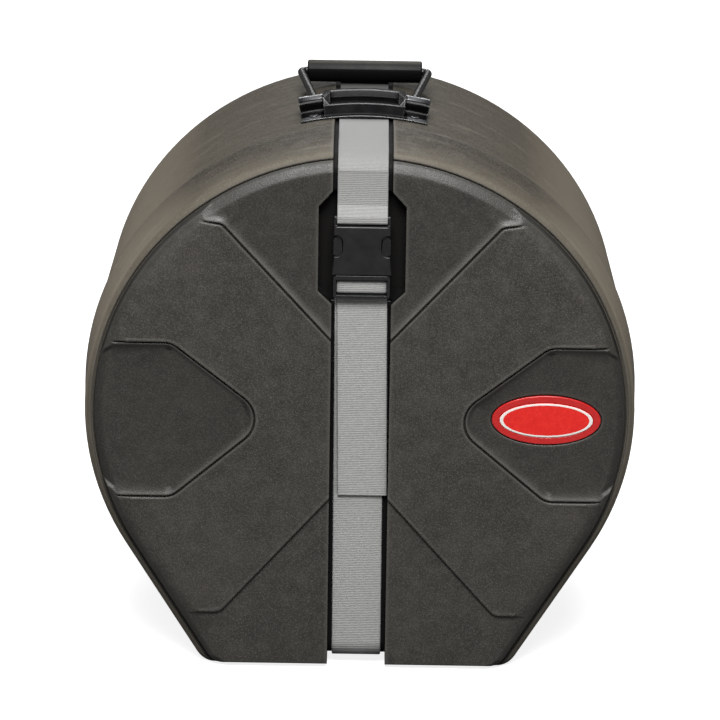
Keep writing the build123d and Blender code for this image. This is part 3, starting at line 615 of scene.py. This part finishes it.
def make_buckle_plastic():
    """Satin black acetal of the buckle, with a faint moulded bloom."""
    material, tree, shader, place = new_material("Buckle plastic", 0.34, Specular_IOR_Level=0.5)
    grain = use_group(tree, grain_group, place, Pebble_scale=2400.0)
    wear = use_group(tree, wear_group, place, Patch_scale=120.0)
    blacks = colour_ramp(
        tree, grain["Mottle"], (0.35, (0.009, 0.009, 0.0095)), (0.65, (0.017, 0.0172, 0.0178))
    )
    base = tinted(
        tree, blacks,
        # Scratches, and rubbed edges, lightened also as a painted highlight
        ((0.03, 0.031, 0.032), wear["Scratches"], 0.70, 0.85, 0.4),
        ((0.11, 0.113, 0.115), crowding(tree, 0.0009, inside=True), 0.25, 0.6, 0.6),
    )
    paint(tree, shader, base, wear["Patches"], 0.28, 0.42)
    raise_by(tree, shader, grain["Height"], 0.00006, 0.5)
    return material


def make_plate_enamel():
    """Gloss black enamel on the pressed plate: bright bends with painted highlights on the edges that look up
    and on the lobes, dull flats and hollows, painted shade in the tray, small scuffs.
    """
    material, tree, shader, place = new_material("Gloss black enamel", 0.2, Specular_IOR_Level=0.6)
    grain = use_group(tree, grain_group, place, Pebble_scale=200.0)
    wear = use_group(tree, wear_group, place, Patch_scale=90.0)
    parts = parts_of(tree, place)
    upwards = surface_direction(tree)["Z"]
    tray = tray_mask(tree, parts)
    blacks = colour_ramp(
        tree, wear["Patches"], (0.35, (0.004, 0.004, 0.0045)), (0.7, (0.008, 0.008, 0.0085))
    )
    base = tinted(
        tree, blacks,
        # Scuffs, and a painted highlight on the edges that look up
        ((0.10, 0.10, 0.10), wear["Scratches"], 0.74, 0.9, 0.4),
        ((0.34, 0.34, 0.335), times(tree, crowding(tree, 0.0004, inside=True), upwards), 0.20, 0.50, 0.5),
        # Painted highlight on the inner ends of the lobes, and painted shade in the tray
        ((0.110, 0.113, 0.120), times(tree, lobe_mask(tree, parts), upwards), 0.12, 0.50, 0.75),
        ((0.001, 0.001, 0.001), tray, 0.0, 1.0, 0.95),
    )
    paint(tree, shader, base, wear["Patches"], 0.11, 0.17)
    bend = math_node(tree, "MINIMUM", times(tree, crowding(tree, 0.0013, inside=True), 2.5), 1.0)
    open_part = math_node(tree, "POWER", minus(tree, 1.0, crowding(tree, 0.004)), 1.6)
    dull = times(tree, larger(tree, tray, under(tree, upwards, 0.72)), minus(tree, 1.0, bend))
    gloss = times(tree, times(tree, open_part, 0.75), minus(tree, 1.0, times(tree, dull, 0.9)))
    tree.links.new(gloss, shader.inputs["Specular IOR Level"])
    raise_by(tree, shader, grain["Height"], 0.00003, 0.2, edge_radius=0.0013)
    return material


def make_rod_steel():
    """Dark plated rod with drawn lines and brighter rubbed places."""
    material, tree, shader, place = new_material(
        "Dark plated rod", 0.2, Metallic=0.25, Specular_IOR_Level=0.9
    )
    wear = use_group(tree, wear_group, place, Patch_scale=140.0)
    blacks = colour_ramp(tree, wear["Patches"], (0.3, (0.008, 0.008, 0.008)), (0.7, (0.020, 0.019, 0.018)))
    base = tinted(tree, blacks, ((0.12, 0.115, 0.105), wear["Scratches"], 0.66, 0.85, 0.5))
    paint(tree, shader, base, wear["Scratches"], 0.24, 0.34)
    raise_by(tree, shader, wear["Scratches"], 0.00003, 0.15)
    return material


def make_grip_plastic():
    """Black moulded grip: painted light on top, satin in front, painted shade below the parting line of its
    halves.
    """
    material, tree, shader, place = new_material("Grip plastic", 0.5, Specular_IOR_Level=0.5)
    grain = use_group(tree, grain_group, place, Pebble_scale=1500.0)
    wear = use_group(tree, wear_group, place, Patch_scale=45.0)
    upwards = surface_direction(tree)["Z"]
    blacks = colour_ramp(
        tree, grain["Mottle"], (0.3, (0.010, 0.010, 0.0098)), (0.7, (0.017, 0.017, 0.0165))
    )
    base = tinted(
        tree, blacks,
        # Handled patches, painted light on the top, painted shade on the lower half
        ((0.030, 0.0285, 0.026), wear["Patches"], 0.5, 0.8, 0.6),
        ((0.036, 0.032, 0.026), upwards, 0.82, 0.92, 0.85),
        ((0.003, 0.003, 0.003), upwards, 0.46, 0.36, 0.98),
    )
    paint(tree, shader, base, wear["Patches"], 0.62, 0.46)
    gloss = minus(tree, 0.16, times(tree, under(tree, upwards, 0.41), 0.13))
    tree.links.new(gloss, shader.inputs["Specular IOR Level"])
    raise_by(tree, shader, grain["Height"], 0.0001, 0.6)
    return material


def make_badge_rim():
    """Deep red enamel of the badge's rim."""
    material, tree, shader, place = new_material(
        "Badge rim", 0.3, Coat_Weight=0.4, Coat_Roughness=0.1, Specular_IOR_Level=0.5
    )
    wear = use_group(tree, wear_group, place, Patch_scale=160.0)
    reds = colour_ramp(tree, wear["Patches"], (0.3, (0.50, 0.012, 0.012)), (0.7, (0.60, 0.022, 0.020)))
    paint(tree, shader, reds, wear["Patches"], 0.25, 0.4)
    raise_by(tree, shader, wear["Patches"], 0.00003, 0.3)
    return material


def make_badge_field():
    """Bright red field of the badge with a plain white ring printed just inside its border."""
    material, tree, shader, place = new_material(
        "Badge field", 0.24, Coat_Weight=0.2, Coat_Roughness=0.06, Specular_IOR_Level=0.4
    )
    wear = use_group(tree, wear_group, place, Patch_scale=220.0)
    reds = colour_ramp(tree, wear["Patches"], (0.3, (0.72, 0.016, 0.014)), (0.7, (0.84, 0.028, 0.020)))
    ovals = []
    for half_width, half_height in BADGE_RING:
        oval = tree.nodes.new("ShaderNodeMapping")
        oval.inputs["Location"].default_value = (-BADGE_X / half_width, 0.0, -BADGE_Z / half_height)
        oval.inputs["Scale"].default_value = (1.0 / half_width, 0.0, 1.0 / half_height)
        tree.links.new(place, oval.inputs["Vector"])
        ovals.append(under(tree, length_of(tree, oval.outputs["Vector"]), 1.0))
    base = tinted(tree, reds, ((0.86, 0.84, 0.80), minus(tree, *ovals), 0.4, 0.6, 1.0))
    paint(tree, shader, base, wear["Patches"], 0.2, 0.32)
    raise_by(tree, shader, wear["Patches"], 0.00004, 0.25)
    return material


def make_foam():
    """Charcoal open-cell foam."""
    material, tree, shader, place = new_material("Charcoal foam", 0.9, Sheen_Weight=0.3, Sheen_Roughness=0.6)
    grain = use_group(tree, grain_group, place, Pebble_scale=650.0)
    base = colour_ramp(tree, grain["Height"], (0.15, (0.022, 0.022, 0.024)), (0.6, (0.075, 0.075, 0.08)))
    paint(tree, shader, base, grain["Mottle"], 0.85, 0.97)
    raise_by(tree, shader, grain["Height"], 0.0009)
    return material


def make_washer_steel():
    """Zinc-plated steel of the washers."""
    material, tree, shader, place = new_material("Zinc plate", 0.38, Metallic=1.0)
    wear = use_group(tree, wear_group, place, Patch_scale=260.0)
    base = colour_ramp(tree, wear["Patches"], (0.3, (0.42, 0.42, 0.43)), (0.7, (0.62, 0.62, 0.62)))
    paint(tree, shader, base, wear["Scratches"], 0.3, 0.48)
    raise_by(tree, shader, wear["Scratches"], 0.00004, 0.4)
    return material


shell_skin = make_shell_skin()
webbing_cloth = make_webbing()
buckle_plastic = make_buckle_plastic()
plate_enamel = make_plate_enamel()
rod_steel = make_rod_steel()
grip_plastic = make_grip_plastic()
badge_rim = make_badge_rim()
badge_field = make_badge_field()
foam = make_foam()
washer_steel = make_washer_steel()


# Moulded shells and foam
for node, name, body in (
    ("lid_shell", "Lid_moulding", "lid"),
    ("body_shell", "Body_moulding", "case_body"),
):
    dress(rounded_shading(joined_copy(node, name), 38), shell_skin, body, "shell", node)
for node, name, body in (
    ("lid_pad", "Lid_foam", "lid"),
    ("back_pad", "Back_foam", "case_body"),
    ("wall_pad", "Wall_foam", "case_body"),
):
    pad = joined_copy(node, name)
    bpy.ops.object.shade_smooth_by_angle(angle=math.radians(40))
    dress(pad, foam, body, "foam", node)

# Handle, buckle and badge
for node, name, grain, rounds, material, body, slot in (
    ("handle_rivets", "Handle_rivet_heads", 0.0003, 3, plate_enamel, "case_body", "rivet"),
    ("handle_bail", "Handle_bail_rod", 0.0006, 3, rod_steel, "handle", "rod"),
    ("handle_grip", "Handle_grip_moulding", 0.0008, 4, grip_plastic, "handle", "grip"),
    ("buckle_receiver", "Buckle_receiver_moulding", 0.00034, 5, buckle_plastic, "lid", "buckle"),
    ("buckle_tongue", "Buckle_tongue_moulding", 0.0003, 3, buckle_plastic, "buckle_lower_half", "buckle"),
    ("left_prong", "Left_prong_moulding", 0.00025, 4, buckle_plastic, "prong_left", "buckle"),
    ("right_prong", "Right_prong_moulding", 0.00025, 4, buckle_plastic, "prong_right", "buckle"),
    ("badge_plate", "Badge_rim_plate", 0.0003, 2, badge_rim, "lid", "badge_ring"),
    ("badge_cap", "Badge_red_cap", 0.0003, 6, badge_field, "lid", "badge_cap"),
):
    dress(moulded_copy(node, name, grain, rounds), material, body, slot, node)
plate = rounded_shading(lower_front_rim(joined_copy("handle_plate", "Handle_plate_pressed")), 30)
dress(plate, plate_enamel, "case_body", "steel", "handle_plate")
nodes["handle_washers"].data.materials.clear()
nodes["handle_washers"].data.materials.append(washer_steel)


# Webbing
def rounded_route(points, radius):
    """Route (along, up) with its corners turned into arcs."""
    route = [Vector(points[0])]
    for before, corner, after in zip(points, points[1:], points[2:]):
        corner = Vector(corner)
        to_start = (Vector(before) - corner).normalized()
        to_end = (Vector(after) - corner).normalized()
        half = to_start.angle(to_end) / 2
        reach = radius / math.tan(half)
        centre = corner + (to_start + to_end).normalized() * (radius / math.sin(half))
        first = corner + to_start * reach - centre
        turn = first.angle_signed(corner + to_end * reach - centre)
        steps = max(4, round(abs(turn) * (WIDE_BEND_STEPS if radius > WIDE_BEND else TIGHT_BEND_STEPS)))
        for step in range(steps + 1):
            route.append(centre + Matrix.Rotation(-turn * step / steps, 2) @ first)
    route.append(Vector(points[-1]))
    return route


def divided(route, spacing):
    """Route with its long straight stretches divided into steps no longer than the spacing."""
    fine = [route[0]]
    for point in route[1:]:
        count = max(1, math.ceil((point - fine[-1]).length / spacing))
        last = fine[-1]
        fine += [last.lerp(point, step / count) for step in range(1, count + 1)]
    return fine


def poly_curve(name, points, closed=False):
    """Flat curve through points, linked to the scene."""
    curve = bpy.data.curves.new(name, "CURVE")
    curve.dimensions = "2D"
    spline = curve.splines.new("POLY")
    spline.points.add(len(points) - 1)
    for target, (across, along) in zip(spline.points, points):
        target.co = (across, along, 0.0, 1.0)
    spline.use_cyclic_u = closed
    piece = bpy.data.objects.new(name, curve)
    scene.collection.objects.link(piece)
    return piece


def web_profile():
    """Cross-section of the webbing, with rounded selvedges."""
    half_thick = STRAP_THICK / 2
    selvedge = STRAP_WIDTH / 2 - half_thick
    points = []
    for side, start in ((1, 0), (-1, 180)):
        for step in range(SECTION_STEPS + 1):
            turn = math.radians(start + 180 / SECTION_STEPS * step)
            points.append((half_thick * math.cos(turn), side * selvedge + half_thick * math.sin(turn)))
    return poly_curve("Webbing_section", points, closed=True)


section = web_profile()


def web_strip(name, route, lean=(0.0, 0.0)):
    """Length of webbing along a route (y, z), its middle drifting sideways from one lean to the other."""
    points = divided(route, ROUTE_SPACING)
    strip = poly_curve(name, points)
    strip.data.bevel_mode = "OBJECT"
    strip.data.bevel_object = section
    strip.data.use_fill_caps = True
    take(strip)
    bpy.ops.object.convert(target="MESH")
    strip = bpy.context.object
    for vertex in strip.data.vertices:
        along, up, side = vertex.co
        share = (up - points[0][1]) / (points[-1][1] - points[0][1] or 1.0)
        drift = lean[0] + (lean[1] - lean[0]) * share if any(lean) else 0.0
        vertex.co = (side + drift, along, up)
    weld(strip, face_out=True)
    bpy.ops.object.shade_smooth_by_angle(angle=math.radians(50))
    return settle(strip, name)


depth = STRAP_GAP + STRAP_THICK / 2
run_y = FLOOR_Y - depth
top_z = CHANNEL_TOP + depth
base_z = CHANNEL_BASE - depth
back_y = BACK_FLOOR_Y + depth
bend = CORNER_BEND + depth

# Round the body and under the lid
body_route = rounded_route(
    [(TOP_CROSSING[1], top_z), (back_y, top_z), (back_y, base_z), (BASE_CROSSING[1], base_z)], bend
)
dress(web_strip("Strap_round_body", body_route), webbing_cloth, "case_body", "webbing", "strap_body_run")
lid_base_route = rounded_route(
    [(BASE_CROSSING[0], base_z), (run_y, base_z), (run_y, LOWER_RUN_START)], bend
)
dress(web_strip("Strap_under_lid", lid_base_route), webbing_cloth, "lid", "webbing", "strap_lid_base")

# Crossings between the lid and the body
for name, node, (start, end), height in (
    ("Strap_top_crossing", "strap_top_bridge", TOP_CROSSING, top_z),
    ("Strap_base_crossing", "strap_base_bridge", BASE_CROSSING, base_z),
):
    crossing = web_strip(name, [Vector((start, height)), Vector((end, height))])
    dress(crossing, webbing_cloth, None, "webbing", node)
    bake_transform(crossing)

# Upper run, which turns round the receiver's bar and comes up again in front as its sewn lap
bar_back = FLOOR_Y - BAR_RECESS
bar_front = bar_back - RECEIVER_BAR_THICK
loop_back = bar_back + depth
loop_front = bar_front - depth
bar_low = RECEIVER_BAR_TOP - RECEIVER_BAR_TALL - depth
sewn_low = RECEIVER_BAR_TOP + 0.008
sewn_high = sewn_low + 0.026
lap_y = run_y - STRAP_THICK
straight_end = (run_y, RECEIVER_BAR_TOP + 0.03)
behind_bar = [(loop_back, RECEIVER_BAR_TOP), (loop_back, bar_low)]
before_bar = [(lap_y, sewn_high), (lap_y, sewn_low), (loop_front, RECEIVER_BAR_TOP), (loop_front, bar_low)]
upper_main = rounded_route([(TOP_CROSSING[0], top_z), (run_y, top_z), straight_end], bend)
upper_main += rounded_route([straight_end, (run_y, sewn_low)] + behind_bar, BAR_BEND)[1:]
lap = rounded_route(before_bar + behind_bar[::-1], BAR_BEND)
upper = web_strip("Strap_upper_run", upper_main)
lap_piece = web_strip("Strap_sewn_lap", lap)
take(upper)
lap_piece.select_set(True)
bpy.ops.object.join()
dress(upper, webbing_cloth, "lid", "webbing", "strap_upper")

# Lower run, the turn through the tongue's ladder, and the tail
lower_route = [Vector((run_y, LOWER_RUN_START)), Vector((run_y, LADDER_START))]
lower = web_strip("Strap_lower_run", lower_route, lean=(0.0, -0.0012))
dress(lower, webbing_cloth, "lid", "webbing", "strap_lower_run")
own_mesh(lower)

bar_y = FLOOR_Y - BAR_RECESS - TONGUE_BAR_THICK - depth
tail_y = run_y - STRAP_GAP - STRAP_THICK
ladder = rounded_route(
    [
        (run_y, LADDER_START), (run_y, LADDER_TOP), (bar_y, LADDER_TOP),
        (bar_y, LADDER_CROSSING), (tail_y, LADDER_CROSSING), (tail_y, LADDER_START),
    ],
    BAR_BEND,
)
ladder_turn = web_strip("Strap_in_ladder", ladder)
dress(ladder_turn, webbing_cloth, "buckle_lower_half", "webbing", "strap_ladder_loop")
tail_route = [Vector((tail_y, TAIL_END)), Vector((tail_y, LADDER_START))]
tail = web_strip("Strap_tail_end", tail_route, lean=(0.003, 0.0005))
dress(tail, webbing_cloth, "buckle_lower_half", "webbing", "strap_tail")
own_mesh(tail)
bpy.data.objects.remove(section)


# Camera at the photograph's angle
CAMERA_TARGET = Vector((-0.0003, -0.03395, 0.2220))
CAMERA_REACH = 3.232
CAMERA_DOWN = math.radians(19.6)
CAMERA_ROLL = math.radians(-0.89)


def place_camera():
    """Long lens, a little above the case and turned a little on its axis."""
    forward = Vector((0.0, math.cos(CAMERA_DOWN), -math.sin(CAMERA_DOWN)))
    right = Vector((1.0, 0.0, 0.0))
    up = right.cross(forward)
    tilted_right = right * math.cos(CAMERA_ROLL) - up * math.sin(CAMERA_ROLL)
    tilted_up = right * math.sin(CAMERA_ROLL) + up * math.cos(CAMERA_ROLL)
    turn = Matrix((tilted_right, tilted_up, -forward)).transposed().to_4x4()
    data = bpy.data.cameras.new("Camera")
    data.lens = 205.0
    data.sensor_width = 36.0
    data.clip_end = 50.0
    camera = bpy.data.objects.new("Camera", data)
    camera.matrix_world = Matrix.Translation(CAMERA_TARGET - forward * CAMERA_REACH) @ turn
    scene.collection.objects.link(camera)
    scene.camera = camera


# Studio: pale floor, white surround, soft lamps
FLOOR_GREY = 0.15
FLOOR_SEEN = 0.40
FLOOR_GLOW = 0.84
WORLD_GREY = 0.14
WORLD_SEEN = 0.86


def make_floor():
    """Wide pale floor that keeps the case's shadow and runs out to white."""
    clear_selection()
    bpy.ops.mesh.primitive_plane_add(size=14.0, location=(0.0, 2.0, 0.0))
    floor = settle(bpy.context.object, "Studio_floor")
    material = bpy.data.materials.new("Studio floor")
    material.use_nodes = True
    tree = material.node_tree
    shader = tree.nodes["Principled BSDF"]
    shader.inputs["Roughness"].default_value = 0.9
    shader.inputs["Specular IOR Level"].default_value = 0.1
    glow = tree.nodes.new("ShaderNodeEmission")
    seen = tree.nodes.new("ShaderNodeLightPath").outputs["Is Camera Ray"]
    tree.links.new(plus(tree, times(tree, seen, FLOOR_SEEN), FLOOR_GREY), shader.inputs["Base Color"])
    tree.links.new(times(tree, seen, FLOOR_GLOW), glow.inputs["Strength"])
    total = tree.nodes.new("ShaderNodeAddShader")
    tree.links.new(shader.outputs[0], total.inputs[0])
    tree.links.new(glow.outputs[0], total.inputs[1])
    tree.links.new(total.outputs[0], tree.nodes["Material Output"].inputs["Surface"])
    floor.data.materials.append(material)


def light_world():
    """Even grey light all round, seen as white."""
    world = bpy.data.worlds.new("Studio")
    world.use_nodes = True
    scene.world = world
    tree = world.node_tree
    background = tree.nodes["Background"]
    background.inputs["Color"].default_value = (1.0, 1.0, 1.0, 1.0)
    path = tree.nodes.new("ShaderNodeLightPath").outputs
    seen = larger(tree, path["Is Camera Ray"], path["Is Transmission Ray"])
    strength = plus(tree, times(tree, seen, WORLD_SEEN), WORLD_GREY)
    tree.links.new(strength, background.inputs["Strength"])


def add_softbox(name, place, target, size, power):
    """Large soft lamp aimed at a point."""
    data = bpy.data.lights.new(name, "AREA")
    data.shape = "RECTANGLE"
    data.size, data.size_y = size
    data.energy = power
    lamp = bpy.data.objects.new(name, data)
    lamp.location = place
    lamp.rotation_euler = (Vector(target) - Vector(place)).to_track_quat("-Z", "Y").to_euler()
    scene.collection.objects.link(lamp)


place_camera()
make_floor()
light_world()
for name, place, target, size, power in (
    ("Softbox_key", (0.0, -1.4, 2.0), (0.0, -0.1, 0.25), (1.2, 0.8), 67.0),
    ("Softbox_back", (0.0, 2.2, 2.2), (0.0, 0.0, 0.3), (1.4, 0.8), 24.0),
    ("Softbox_top", (0.0, -0.35, 2.3), (0.0, -0.02, 0.4), (0.9, 0.4), 14.0),
    ("Softbox_left", (-2.1, 0.5, 1.0), (0.0, 0.0, 0.25), (0.7, 1.2), 3.0),
):
    add_softbox(name, place, target, size, power)
scene.view_settings.view_transform = "Standard"
